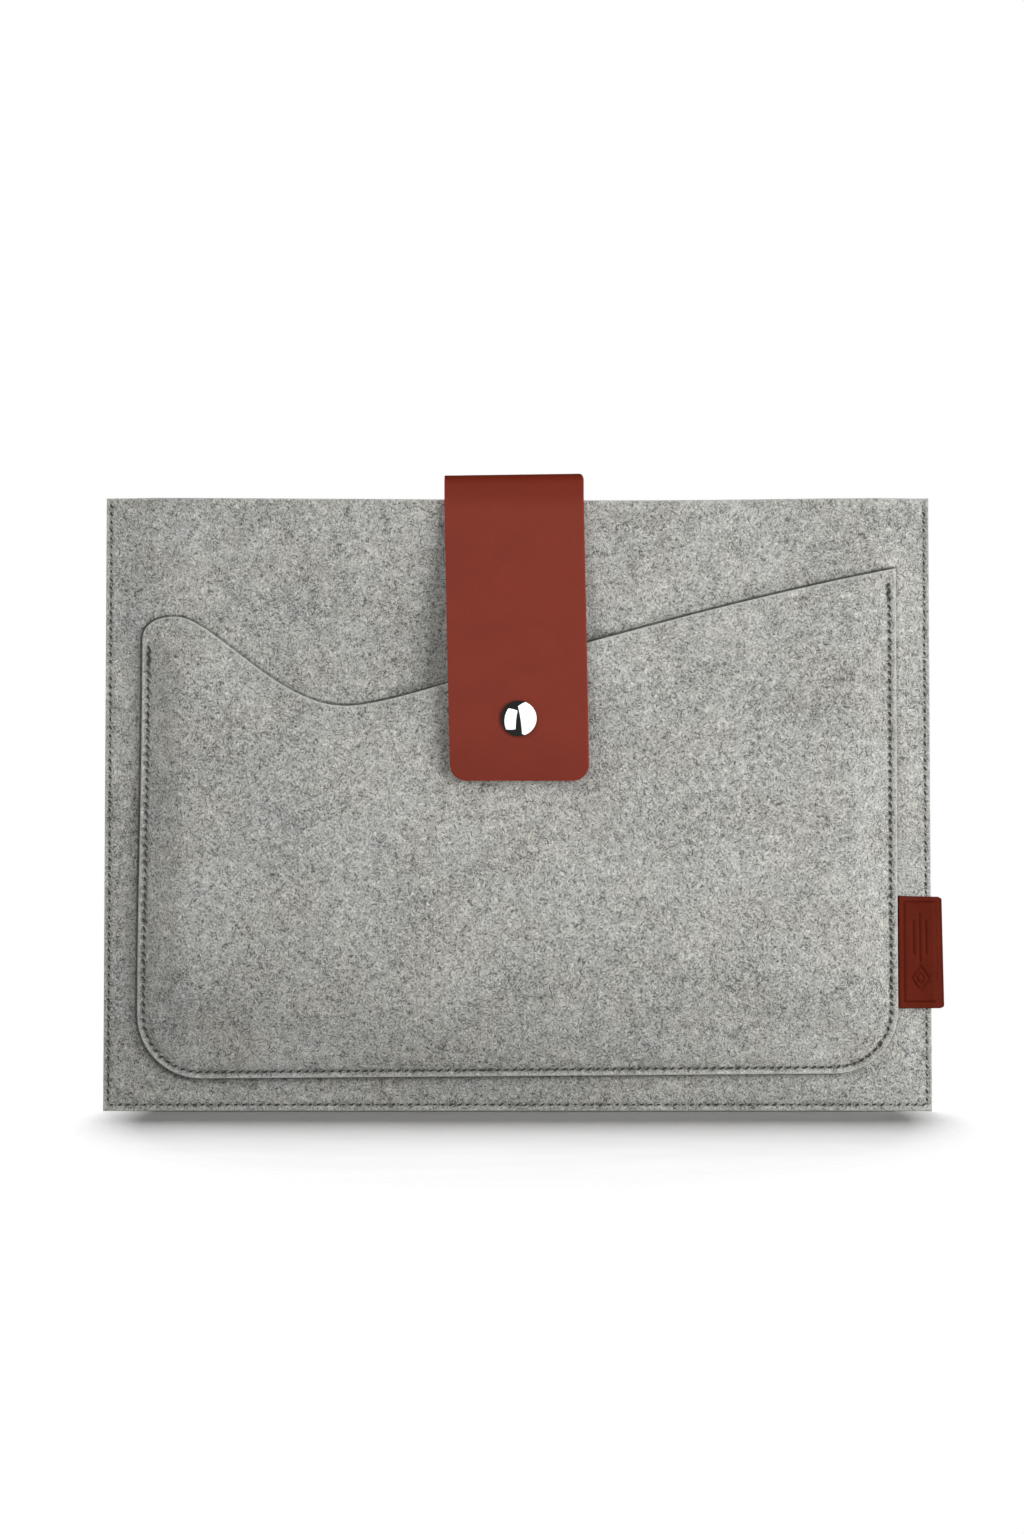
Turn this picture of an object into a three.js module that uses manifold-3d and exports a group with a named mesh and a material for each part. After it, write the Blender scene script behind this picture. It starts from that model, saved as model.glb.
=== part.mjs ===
// Laptop sleeve: a felt envelope with a front pocket, closed by a leather strap and a press stud.
// Millimetres, +Z up, +X to the right, the front faces -Y. Until the group is moved to its reference
// point at the end, the plane where the front and back panels are sewn together is y = 0.
import * as THREE from 'three';
import { mergeVertices } from 'three/addons/utils/BufferGeometryUtils.js';
import Module from 'manifold-3d';

const wasm = await Module();
wasm.setup();

// ---- driving dimensions ----------------------------------------------------------------------

const CLEARANCE = 0.3; // kept between pieces that touch

const FELT = 3; // thickness of every felt panel
const SLEEVE_WIDTH = 350;
const SLEEVE_HEIGHT = 260;
const SEAM_MARGIN = 4.4; // flat sewn border of the two body panels
const BODY_SLOPE = 18.6; // from that border to the full bow
const FRONT_BOW = 2; // how far the front panel stands off the seam plane
const BACK_BOW = 10;

const POCKET_SIDE = 160.5; // left and right edge, from the middle
const POCKET_BOTTOM = [13.5, 16]; // height of the bottom edge at the left and at the right
const POCKET_CORNER = 27; // radius of the two bottom corners
const POCKET_MOUTH = [ // the cut top edge: three cubic curves of [x, z] control points
  [[-160.5, 200], [-160.5, 207], [-154, 209.8], [-147, 209.8]],
  [[-147, 209.8], [-131, 210.5], [-103, 171.4], [-73.5, 171.4]],
  [[-73.5, 171.4], [-45, 171.4], [30, 203.5], [160.5, 229.7]],
];
const POCKET_MARGIN = 4.4;
const POCKET_SLOPE = 16;
const POCKET_BOW = 4.6;
const POCKET_GAP = 0.4; // between the pocket's border and the front panel

const THREAD = { width: 0.6, height: 0.4 };
const BODY_STITCH_INSET = 3.1; // from the felt's edge to the seam
const POCKET_STITCH_INSET = 2.8;
const STITCH_END = 1.5; // a seam ends this far below the mouth

const LEATHER = 2; // thickness of the strap
const STRAP_WIDTH = 58.5;
const STRAP_TOP_X = -2; // middle of the strap at the mouth
const STRAP_TIP_X = 0.4; // middle of the strap at its free end
const STRAP_TIP_Z = 140;
const STRAP_TIP_CORNER = 6;
const STRAP_SEWN_Z = 205; // lower end of the sewn leg on the back
const FOLD_RADIUS = 9; // middle of the leather, where it goes over the mouth
const FOLD_GAP = 0.5; // between the strap's segments, on its outer face
const STRAP_BOX_INSET = 4; // from the strap's edges to the box stitch
const STRAP_BOX_HEIGHT = 42;

const SNAP_X = 0.6;
const SNAP_Z = 165;
const SNAP_SEAT = 0.9; // how deep the rivet flanges pinch into the pocket's felt
const SNAP_SEGMENTS = 24;
const CAP = { radius: 7.5, rise: 2.6, rim: 0.6, wall: 0.6 };
const CAP_POST = { discRadius: 6.6, disc: 0.5, barrelRadius: 1.4 };
const SOCKET = { radius: 5.75, bore: 3.6, height: 3.2, base: 0.7, grooveRadius: 4.75, groove: [1.4, 2.6] };
const RING_SPRING = { radius: 4.15, wire: 0.3, opening: Math.PI / 3 };
const STUD = { flange: 4.6, flangeHeight: 0.7, neck: 2.6, head: 3.1, height: 3.15, bore: 1.8 };
const STUD_POST = { flange: 4.5, flangeHeight: 0.6, barrel: 1.5, bore: 0.8, length: 5.35 };

const LABEL_THICKNESS = 1.4;
const LABEL_LEFT_X = 162; // where the front and back leaves end
const LABEL_Z = [43.3, 90.7];

// ---- materials -------------------------------------------------------------------------------

function material(color, roughness, metalness = 0) {
  return new THREE.MeshStandardMaterial({ color, roughness, metalness });
}

const FELT_COLOR = 0xa2a39e;
const STRAP_COLOR = 0x843c31;
const LABEL_COLOR = 0x662a1f;
const THREAD_COLOR = 0x5c5d5b;
const CHROME_COLOR = 0xdcdce0;
const NICKEL_COLOR = 0xb9b8b2;

// ---- geometry helpers ------------------------------------------------------------------------

/** Merges shared vertices, drops collapsed triangles and turns all faces outwards. */
function closed(geometry) {
  geometry.deleteAttribute('normal');
  geometry.deleteAttribute('uv');
  const merged = mergeVertices(geometry, 1e-4);
  const point = (i) => new THREE.Vector3().fromBufferAttribute(merged.attributes.position, i);
  const triangles = [];
  let volume = 0;
  for (let i = 0; i < merged.index.count; i += 3) {
    const [a, b, c] = [0, 1, 2].map((k) => merged.index.getX(i + k));
    if (a === b || b === c || c === a) continue;
    triangles.push([a, b, c]);
    volume += point(a).dot(point(b).cross(point(c)));
  }
  merged.setIndex(triangles.flatMap(([a, b, c]) => (volume < 0 ? [a, c, b] : [a, b, c])));
  return merged;
}

/** A closed body between two matching grids of points, near[i][j] and far[i][j]. */
function slab(near, far) {
  const rows = near[0].length;
  const count = near.length * rows;
  const at = (i, j) => i * rows + j;
  const index = [];
  const quad = (a, b, c, d) => index.push(a, b, c, a, c, d);
  for (let i = 0; i + 1 < near.length; i++) {
    for (let j = 0; j + 1 < rows; j++) {
      quad(at(i, j), at(i + 1, j), at(i + 1, j + 1), at(i, j + 1));
      quad(count + at(i, j), count + at(i, j + 1), count + at(i + 1, j + 1), count + at(i + 1, j));
    }
  }
  const wall = (a, b) => quad(b, a, count + a, count + b);
  for (let i = 0; i + 1 < near.length; i++) {
    wall(at(i, 0), at(i + 1, 0));
    wall(at(i + 1, rows - 1), at(i, rows - 1));
  }
  for (let j = 0; j + 1 < rows; j++) {
    wall(at(0, j + 1), at(0, j));
    wall(at(near.length - 1, j), at(near.length - 1, j + 1));
  }
  const geometry = new THREE.BufferGeometry();
  geometry.setFromPoints([...near.flat(), ...far.flat()]);
  geometry.setIndex(index);
  return closed(geometry);
}

function toManifold(geometry) {
  return new wasm.Manifold(new wasm.Mesh({
    numProp: 3,
    vertProperties: new Float32Array(geometry.attributes.position.array),
    triVerts: new Uint32Array(geometry.index.array),
  }));
}

/** The first geometry with all the others cut out of it. */
function cut(geometry, ...tools) {
  let body = toManifold(geometry);
  for (const tool of tools) body = body.subtract(toManifold(tool));
  const mesh = body.getMesh();
  const result = new THREE.BufferGeometry();
  result.setAttribute('position', new THREE.BufferAttribute(mesh.vertProperties, 3));
  result.setIndex(new THREE.BufferAttribute(mesh.triVerts, 1));
  return closed(result);
}

/** A turned body on the press stud's axis. Its profile holds [radius, y] pairs. */
function turned(profile) {
  const points = profile.map(([radius, y]) => new THREE.Vector2(radius, y));
  const geometry = new THREE.LatheGeometry(points, SNAP_SEGMENTS);
  geometry.translate(SNAP_X, 0, SNAP_Z);
  return closed(geometry);
}

/** A closed ring profile with its first point repeated at the end. */
function ringProfile(...points) {
  return [...points, points[0]];
}

/** Evenly spaced numbers from start to end, both included. */
function spread(start, end, steps) {
  return Array.from({ length: steps + 1 }, (_, i) => start + ((end - start) * i) / steps);
}

function smooth(t) {
  const u = THREE.MathUtils.clamp(t, 0, 1);
  return u * u * (3 - 2 * u);
}

/** Points on an arc in a plane, from angle a to angle b in degrees. */
function arc(center, radius, a, b, steps) {
  return spread(a, b, steps).map((degrees) => {
    const angle = THREE.MathUtils.degToRad(degrees);
    return new THREE.Vector2(center.x + radius * Math.cos(angle), center.y + radius * Math.sin(angle));
  });
}

/** The left-hand normal at each point of a flat path, lengthened at a corner to keep the width. */
function pathNormals(path) {
  const steps = path.slice(1).map((point, i) => point.clone().sub(path[i]).normalize());
  return path.map((_, i) => {
    const before = steps[Math.max(i - 1, 0)];
    const after = steps[Math.min(i, steps.length - 1)];
    const along = before.clone().add(after).normalize();
    return new THREE.Vector2(-along.y, along.x).divideScalar(along.dot(after));
  });
}

function shifted(path, distance) {
  const normals = pathNormals(path);
  return path.map((point, i) => point.clone().addScaledVector(normals[i], distance));
}

// ---- felt surfaces: the y of each face over the x, z plane --------------------------------------

function bodyBow(x, z) {
  const side = smooth((SLEEVE_WIDTH / 2 - Math.abs(x) - SEAM_MARGIN) / BODY_SLOPE);
  return side * smooth((z - SEAM_MARGIN) / BODY_SLOPE);
}

function pocketBase(x) {
  const [left, right] = POCKET_BOTTOM;
  return THREE.MathUtils.mapLinear(x, -POCKET_SIDE, POCKET_SIDE, left, right);
}

function pocketBow(x, z) {
  const side = smooth((POCKET_SIDE - Math.abs(x) - POCKET_MARGIN) / POCKET_SLOPE);
  return side * smooth((z - pocketBase(x) - POCKET_MARGIN) / POCKET_SLOPE);
}

const frontInner = (x, z) => -CLEARANCE / 2 - FRONT_BOW * bodyBow(x, z);
const frontOuter = (x, z) => frontInner(x, z) - FELT;
const backInner = (x, z) => CLEARANCE / 2 + BACK_BOW * bodyBow(x, z);
const backOuter = (x, z) => backInner(x, z) + FELT;
const pocketInner = (x, z) => frontOuter(x, z) - POCKET_GAP - POCKET_BOW * pocketBow(x, z);
const pocketOuter = (x, z) => pocketInner(x, z) - FELT;

/** A felt panel over columns of [x, z] points, between two faces. */
function panel(columns, inner, outer) {
  const lay = (face) => columns.map((column) => (
    column.map(([x, z]) => new THREE.Vector3(x, face(x, z), z))));
  return slab(lay(inner), lay(outer));
}

// ---- seams: a thread is a ribbon sunk into the face it runs along --------------------------------

const GROOVE = { width: THREAD.width + 2 * CLEARANCE, depth: THREAD.height + CLEARANCE, proud: 0.5 };

/** A ribbon along an [x, z] path. inward is the y direction that leads into the material. */
function ribbon(path, face, inward, width, top, bottom) {
  const edges = [shifted(path, width / 2), shifted(path, -width / 2)];
  const layer = (depth) => path.map((_, i) => edges.map((edge) => {
    const { x, y: z } = edge[i];
    return new THREE.Vector3(x, face(path[i].x, path[i].y) + inward * depth, z);
  }));
  return slab(layer(top), layer(bottom));
}

function thread(path, face, inward) {
  return ribbon(path, face, inward, THREAD.width, 0, THREAD.height);
}

/** The channel that a thread lies in, a clearance wider and longer than the thread. */
function groove(path, face, inward) {
  const longer = path.map((point) => point.clone());
  const extend = (end, next) => end.add(end.clone().sub(next).setLength(CLEARANCE));
  extend(longer[0], path[1]);
  extend(longer.at(-1), path.at(-2));
  return ribbon(longer, face, inward, GROOVE.width, -GROOVE.proud, GROOVE.depth);
}

function bodySeamPath() {
  const side = SLEEVE_WIDTH / 2 - BODY_STITCH_INSET;
  const top = SLEEVE_HEIGHT - STITCH_END;
  return [[-side, top], [-side, BODY_STITCH_INSET], [side, BODY_STITCH_INSET], [side, top]]
    .map(([x, z]) => new THREE.Vector2(x, z));
}

function pocketSeamPath() {
  const side = POCKET_SIDE - POCKET_STITCH_INSET;
  const center = POCKET_SIDE - POCKET_CORNER;
  const radius = POCKET_CORNER - POCKET_STITCH_INSET;
  const corner = (sign, from, to) => arc(
    new THREE.Vector2(sign * center, pocketBase(sign * center) + POCKET_CORNER), radius, from, to, 8);
  return [
    new THREE.Vector2(-side, POCKET_MOUTH[0][0][1] - STITCH_END),
    ...corner(-1, 180, 270),
    ...corner(1, 270, 360),
    new THREE.Vector2(side, POCKET_MOUTH[2][3][1] - STITCH_END - POCKET_STITCH_INSET),
  ];
}

// ---- body panels -----------------------------------------------------------------------------

const SLOPE_STEPS = 6;

function bodyColumns() {
  const half = SLEEVE_WIDTH / 2;
  const rise = spread(SEAM_MARGIN, SEAM_MARGIN + BODY_SLOPE, SLOPE_STEPS);
  const left = [0, ...rise].map((inset) => inset - half);
  const xs = [...left, ...left.map((x) => -x).reverse()];
  const zs = [0, ...rise, SLEEVE_HEIGHT];
  return xs.map((x) => zs.map((z) => [x, z]));
}

function frontPanel() {
  return cut(
    panel(bodyColumns(), frontInner, frontOuter),
    groove(bodySeamPath(), frontOuter, 1),
    groove(pocketSeamPath(), frontInner, -1));
}

function backPanel() {
  return cut(
    panel(bodyColumns(), backInner, backOuter),
    groove(bodySeamPath(), backOuter, -1),
    groove(strapSeamPath(), backInner, 1));
}

// ---- pocket ----------------------------------------------------------------------------------

/** The pocket's lower edge, with its round corners. */
function pocketBottom(x) {
  const intoCorner = Math.abs(x) - (POCKET_SIDE - POCKET_CORNER);
  if (intoCorner <= 0) return pocketBase(x);
  return pocketBase(x) + POCKET_CORNER - Math.sqrt(Math.max(POCKET_CORNER ** 2 - intoCorner ** 2, 0));
}

/** Points on the pocket's cut upper edge, from left to right. */
function mouthPoints(stepsPerCurve) {
  return POCKET_MOUTH.flatMap((controls, i) => {
    const curve = new THREE.CubicBezierCurve(...controls.map(([x, z]) => new THREE.Vector2(x, z)));
    return curve.getPoints(stepsPerCurve).slice(i === 0 ? 0 : 1);
  });
}

function pocketTop(x, outline) {
  const next = Math.max(outline.findIndex((point) => point.x >= x - 1e-6), 1);
  const [a, b] = [outline[next - 1], outline[next]];
  return THREE.MathUtils.mapLinear(x, a.x, b.x, a.y, b.y);
}

const MIN_COLUMN = 0.8; // closer columns are merged

function pocketColumns() {
  const outline = mouthPoints(40);
  const cornerXs = arc(new THREE.Vector2(0, 0), POCKET_CORNER, 0, 90, 6)
    .map((point) => POCKET_SIDE - POCKET_CORNER + point.x);
  const mouthXs = mouthPoints(8).map((point) => point.x);
  const candidates = [...mouthXs, ...cornerXs, ...cornerXs.map((x) => -x)].sort((a, b) => a - b);
  const xs = candidates.filter((x, i) => i === 0 || x - candidates[i - 1] > MIN_COLUMN);
  const rise = spread(POCKET_MARGIN, POCKET_MARGIN + POCKET_SLOPE, SLOPE_STEPS);
  return xs.map((x) => {
    const bottom = pocketBottom(x);
    return [0, ...rise].map((up) => [x, bottom + up]).concat([[x, pocketTop(x, outline)]]);
  });
}

const POCKET_INNER_Y = pocketInner(SNAP_X, SNAP_Z);
const POCKET_OUTER_Y = pocketOuter(SNAP_X, SNAP_Z);

function pocketPanel() {
  const seat = (radius, from, to) => turned([[0, from], [radius, from], [radius, to], [0, to]]);
  return cut(
    panel(pocketColumns(), pocketInner, pocketOuter),
    groove(pocketSeamPath(), pocketOuter, 1),
    seat(STUD.flange + CLEARANCE, POCKET_OUTER_Y + SNAP_SEAT, POCKET_OUTER_Y - 1),
    seat(STUD_POST.flange + CLEARANCE, POCKET_INNER_Y - SNAP_SEAT, POCKET_INNER_Y + 1),
    seat(STUD_POST.barrel + CLEARANCE, POCKET_INNER_Y, POCKET_OUTER_Y));
}

// ---- strap -----------------------------------------------------------------------------------

const BACK_LEG_Y = backOuter(STRAP_TOP_X, SLEEVE_HEIGHT) + CLEARANCE + LEATHER / 2;
const FRONT_LEG_Y = frontOuter(STRAP_TOP_X, SLEEVE_HEIGHT) - CLEARANCE - LEATHER / 2;
const BACK_FOLD = new THREE.Vector2(BACK_LEG_Y - FOLD_RADIUS, SLEEVE_HEIGHT);
const FRONT_FOLD = new THREE.Vector2(FRONT_LEG_Y + FOLD_RADIUS, SLEEVE_HEIGHT);
const FOLD_HALF_GAP = THREE.MathUtils.radToDeg(FOLD_GAP / 2 / (FOLD_RADIUS + LEATHER / 2));

// The press stud's stack, from the pocket's pinched felt outwards.
const STUD_Y = POCKET_OUTER_Y + SNAP_SEAT - CLEARANCE;
const SOCKET_MOUTH_Y = STUD_Y - STUD.flangeHeight - CLEARANCE;
const SOCKET_Y = SOCKET_MOUTH_Y - SOCKET.height;
const FLAP_INNER_Y = SOCKET_Y - CLEARANCE;
const CAP_Y = FLAP_INNER_Y - LEATHER - CLEARANCE;

/** The middle of the strap at a given height: it leans slightly to the right towards its tip. */
function strapMiddle(z) {
  if (z >= SLEEVE_HEIGHT) return STRAP_TOP_X;
  return THREE.MathUtils.mapLinear(z, SLEEVE_HEIGHT, STRAP_TIP_Z, STRAP_TOP_X, STRAP_TIP_X);
}

/** Leather along a [y, z] path. halfWidth and middle give its sides at each point. */
function strapSegment(path, halfWidth, middle) {
  const side = (distance) => shifted(path, distance).map((point, i) => [-1, 1].map((sign) => (
    new THREE.Vector3(middle(path[i].y) + sign * halfWidth(path[i]), point.x, point.y))));
  return slab(side(LEATHER / 2), side(-LEATHER / 2));
}

const fullWidth = () => STRAP_WIDTH / 2;

function strapBackLeg() {
  const fold = arc(BACK_FOLD, FOLD_RADIUS, 0, 45 - FOLD_HALF_GAP, 4);
  const path = [new THREE.Vector2(BACK_LEG_Y, STRAP_SEWN_Z), ...fold];
  const outerFace = () => BACK_LEG_Y + LEATHER / 2;
  return cut(strapSegment(path, fullWidth, () => STRAP_TOP_X), groove(strapSeamPath(), outerFace, -1));
}

function strapCrown() {
  const path = [
    ...arc(BACK_FOLD, FOLD_RADIUS, 45 + FOLD_HALF_GAP, 90, 4),
    ...arc(FRONT_FOLD, FOLD_RADIUS, 90, 135 - FOLD_HALF_GAP, 4),
  ];
  return strapSegment(path, fullWidth, () => STRAP_TOP_X);
}

/** The flap's [y, z] route: round the fold, straight down to the press stud, then in at the tip. */
function flapPath() {
  const y = FLAP_INNER_Y - LEATHER / 2;
  const bend = (...points) => new THREE.QuadraticBezierCurve(...points.map(([py, pz]) => (
    new THREE.Vector2(py, pz))));
  const leave = arc(FRONT_FOLD, FOLD_RADIUS, 135 + FOLD_HALF_GAP, 172, 4);
  const level = bend([y + 0.9, SNAP_Z + 18], [y, SNAP_Z + 11.5], [y, SNAP_Z + 7]);
  const tip = bend([y, SNAP_Z - 8], [y, SNAP_Z - 16], [y + 1.2, STRAP_TIP_Z]);
  return [...leave, ...level.getPoints(3), ...tip.getPoints(10)];
}

/** Half of the strap's width, less in the round corners of its tip. */
function flapHalfWidth(point) {
  const fromTip = Math.max(point.y - STRAP_TIP_Z, 0);
  const intoCorner = Math.max(STRAP_TIP_CORNER - fromTip, 0);
  const lost = STRAP_TIP_CORNER - Math.sqrt(STRAP_TIP_CORNER ** 2 - intoCorner ** 2);
  return STRAP_WIDTH / 2 - lost;
}

function strapFlap() {
  const hole = CAP_POST.barrelRadius + CLEARANCE;
  return cut(
    strapSegment(flapPath(), flapHalfWidth, strapMiddle),
    turned([[0, FLAP_INNER_Y + 1], [hole, FLAP_INNER_Y + 1], [hole, CAP_Y], [0, CAP_Y]]));
}

/** The box stitch that holds the strap's sewn leg, an open loop whose ends nearly meet. */
function strapSeamPath() {
  const half = STRAP_WIDTH / 2 - STRAP_BOX_INSET;
  const low = STRAP_SEWN_Z + STRAP_BOX_INSET;
  const high = low + STRAP_BOX_HEIGHT;
  const endGap = 2;
  return [[-half, high - endGap], [-half, low], [half, low], [half, high], [-half + endGap, high]]
    .map(([x, z]) => new THREE.Vector2(STRAP_TOP_X + x, z));
}

// ---- press stud ------------------------------------------------------------------------------

/** A dome's profile from its rim to the axis, standing out towards -Y. */
function domeProfile(radius, rise, y, steps) {
  const curvature = (radius ** 2 + rise ** 2) / (2 * rise);
  const outwards = (r) => Math.sqrt(curvature ** 2 - r ** 2) - curvature + rise;
  return spread(radius, 0, steps).map((r) => [r, y - outwards(r)]);
}

function snapCapShell() {
  const rimY = CAP_Y - CAP.rim;
  const outside = domeProfile(CAP.radius, CAP.rise, rimY, 8);
  const inside = domeProfile(CAP.radius - CAP.wall, CAP.rise - CAP.wall, rimY, 6).reverse();
  return turned([...inside, [CAP.radius - CAP.wall, CAP_Y], [CAP.radius, CAP_Y], ...outside]);
}

function snapCapPost() {
  const end = SOCKET_Y + SOCKET.base + 0.1;
  return turned([
    [0, CAP_Y - CAP_POST.disc], [CAP_POST.discRadius, CAP_Y - CAP_POST.disc], [CAP_POST.discRadius, CAP_Y],
    [CAP_POST.barrelRadius, CAP_Y], [CAP_POST.barrelRadius, end], [0, end]]);
}

function snapSocket() {
  const { radius, bore, height, base, grooveRadius, groove: [low, high] } = SOCKET;
  const hole = CAP_POST.barrelRadius + CLEARANCE;
  return turned(ringProfile(...[
    [hole, 0], [radius, 0], [radius, height], [bore, height], [bore, high], [grooveRadius, high],
    [grooveRadius, low], [bore, low], [bore, base], [hole, base],
  ].map(([r, y]) => [r, SOCKET_Y + y])));
}

function socketRingSpring() {
  const { radius, wire, opening } = RING_SPRING;
  const y = SOCKET_Y + (SOCKET.groove[0] + SOCKET.groove[1]) / 2;
  const points = spread(opening / 2, 2 * Math.PI - opening / 2, 20)
    .map((a) => new THREE.Vector3(SNAP_X + radius * Math.cos(a), y, SNAP_Z + radius * Math.sin(a)));
  const section = new THREE.Shape(spread(0, 2 * Math.PI, 8).slice(1)
    .map((a) => new THREE.Vector2(wire * Math.cos(a), wire * Math.sin(a))));
  const extrudePath = new THREE.CatmullRomCurve3(points);
  return closed(new THREE.ExtrudeGeometry(section, { steps: 24, extrudePath }));
}

function snapStud() {
  const { flange, flangeHeight, neck, head, height, bore } = STUD;
  return turned(ringProfile(...[
    [bore, 0], [flange, 0], [flange, flangeHeight], [neck, flangeHeight], [neck, height - 1.55],
    [head, height - 1.15], [head, height - 0.45], [neck, height], [bore, height],
  ].map(([r, y]) => [r, STUD_Y - y])));
}

function studPost() {
  const { flange, flangeHeight, barrel, bore, length } = STUD_POST;
  const y = POCKET_INNER_Y - SNAP_SEAT + CLEARANCE + flangeHeight;
  return turned(ringProfile(
    [bore, y], [flange, y], [flange, y - flangeHeight], [barrel, y - flangeHeight],
    [barrel, y - length], [bore, y - length]));
}

// ---- side label ------------------------------------------------------------------------------

/** Leather folded round the sleeve's right edge, with a leaf on the front and one on the back. */
function sideLabel() {
  const edge = SLEEVE_WIDTH / 2;
  const z = LABEL_Z[0];
  const leaf = (face, offset) => spread(LABEL_LEFT_X, edge, 5)
    .map((x) => new THREE.Vector2(x, face(x, z) + offset));
  const radius = -frontOuter(edge, z) + CLEARANCE;
  const path = [
    ...leaf(frontOuter, -CLEARANCE),
    ...arc(new THREE.Vector2(edge, 0), radius, -90, 90, 10).slice(1, -1),
    ...leaf(backOuter, CLEARANCE).reverse(),
  ];
  const layer = (points) => points.map((p) => LABEL_Z.map((height) => new THREE.Vector3(p.x, p.y, height)));
  return slab(layer(path), layer(shifted(path, -LABEL_THICKNESS)));
}

// ---- assembly --------------------------------------------------------------------------------

const sleeve = new THREE.Group();

function add(name, geometry, look) {
  const mesh = new THREE.Mesh(geometry, look);
  mesh.name = name;
  sleeve.add(mesh);
}

add('back_panel', backPanel(), material(FELT_COLOR, 1));
add('front_panel', frontPanel(), material(FELT_COLOR, 1));
add('pocket_panel', pocketPanel(), material(FELT_COLOR, 1));

add('strap_back_leg', strapBackLeg(), material(STRAP_COLOR, 0.6));
add('strap_crown', strapCrown(), material(STRAP_COLOR, 0.6));
add('strap_flap', strapFlap(), material(STRAP_COLOR, 0.6));

add('snap_cap_shell', snapCapShell(), material(CHROME_COLOR, 0.1, 1));
add('snap_cap_post', snapCapPost(), material(NICKEL_COLOR, 0.3, 1));
add('snap_socket', snapSocket(), material(NICKEL_COLOR, 0.3, 1));
add('socket_ring_spring', socketRingSpring(), material(NICKEL_COLOR, 0.35, 1));
add('snap_stud', snapStud(), material(NICKEL_COLOR, 0.3, 1));
add('stud_post', studPost(), material(NICKEL_COLOR, 0.3, 1));

add('side_label', sideLabel(), material(LABEL_COLOR, 0.6));

const strapOuterFace = () => BACK_LEG_Y + LEATHER / 2;
add('body_seam_needle_thread', thread(bodySeamPath(), frontOuter, 1), material(THREAD_COLOR, 0.8));
add('body_seam_bobbin_thread', thread(bodySeamPath(), backOuter, -1), material(THREAD_COLOR, 0.8));
add('pocket_seam_needle_thread', thread(pocketSeamPath(), pocketOuter, 1), material(THREAD_COLOR, 0.8));
add('pocket_seam_bobbin_thread', thread(pocketSeamPath(), frontInner, -1), material(THREAD_COLOR, 0.8));
add('strap_seam_needle_thread', thread(strapSeamPath(), strapOuterFace, -1), material(THREAD_COLOR, 0.8));
add('strap_seam_bobbin_thread', thread(strapSeamPath(), backInner, 1), material(THREAD_COLOR, 0.8));

// The reference point is the middle of the bottom of the whole object's box.
const box = new THREE.Box3().setFromObject(sleeve);
const center = box.getCenter(new THREE.Vector3());
sleeve.position.set(-center.x, -center.y, -box.min.z);

export default sleeve;
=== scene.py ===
"""The looks of a laptop sleeve: felt panels, a leather strap and label, seams and a press stud.

Everything is in metres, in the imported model's frame: +Z up, +X to the right, the front faces -Y.
"""

import math

import bmesh
import bpy
import numpy as np
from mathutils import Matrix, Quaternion, Vector
from mathutils.geometry import delaunay_2d_cdt


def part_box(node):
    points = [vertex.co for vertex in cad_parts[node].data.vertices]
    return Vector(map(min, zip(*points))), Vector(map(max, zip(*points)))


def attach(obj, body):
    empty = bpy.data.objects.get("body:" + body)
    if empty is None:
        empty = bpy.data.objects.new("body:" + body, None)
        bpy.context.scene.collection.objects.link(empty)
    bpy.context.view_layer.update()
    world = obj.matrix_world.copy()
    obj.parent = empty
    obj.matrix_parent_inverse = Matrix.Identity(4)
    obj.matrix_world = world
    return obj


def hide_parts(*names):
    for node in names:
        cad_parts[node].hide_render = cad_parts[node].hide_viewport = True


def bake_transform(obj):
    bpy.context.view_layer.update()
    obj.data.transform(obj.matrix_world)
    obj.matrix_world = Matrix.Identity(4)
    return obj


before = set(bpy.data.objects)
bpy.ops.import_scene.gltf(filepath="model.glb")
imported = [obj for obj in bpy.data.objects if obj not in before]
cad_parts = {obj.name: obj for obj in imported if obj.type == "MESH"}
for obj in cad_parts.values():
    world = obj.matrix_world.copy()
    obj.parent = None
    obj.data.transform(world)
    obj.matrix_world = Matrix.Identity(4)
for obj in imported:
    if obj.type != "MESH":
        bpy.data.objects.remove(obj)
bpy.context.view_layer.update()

# ---- sizes, in metres ----

MM = 0.001

FELT = 3 * MM
SEAM_MARGIN = 4.4 * MM  # flat sewn border of the body panels and of the pocket
BODY_SLOPE = 18.6 * MM  # from that border to the full bow
FRONT_RISE = 40 * MM  # the same above the bottom of the front panel
BODY_SEAM_SIDE = 2.1 * MM  # from the side edges to the seam
BODY_SEAM_BASE = 2.7 * MM  # from the bottom edge

POCKET_BASE = (13.5 * MM, 16 * MM)  # height of the bottom edge at the left and at the right
POCKET_CORNER = 27 * MM
POCKET_SLOPE = 16 * MM  # from that border to the full bow
POCKET_RISE = 39 * MM  # the same above its bottom edge
POCKET_BOW = 4.6 * MM
POCKET_GAP = 0.4 * MM  # to the front panel, along the border
POCKET_SEAM_INSET = 2.8 * MM
POCKET_MOUTH = (  # the cut top edge: three cubic curves of (x, z) control points, in mm
    ((-160.5, 200), (-160.5, 207), (-154, 209.8), (-147, 209.8)),
    ((-147, 209.8), (-131, 210.5), (-103, 171.4), (-73.5, 171.4)),
    ((-73.5, 171.4), (-45, 171.4), (30, 203.5), (160.5, 229.7)),
)
SEAM_END = 1.5 * MM  # a seam ends this far below the mouth
POCKET_LEAN = 1.4 * MM  # how far the pocket's upper left leans in
POCKET_HANG = 0.9 * MM  # how far it hangs down there
MOUTH_SAG = 1.1 * MM  # of the laptop compartment's cut edges

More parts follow.
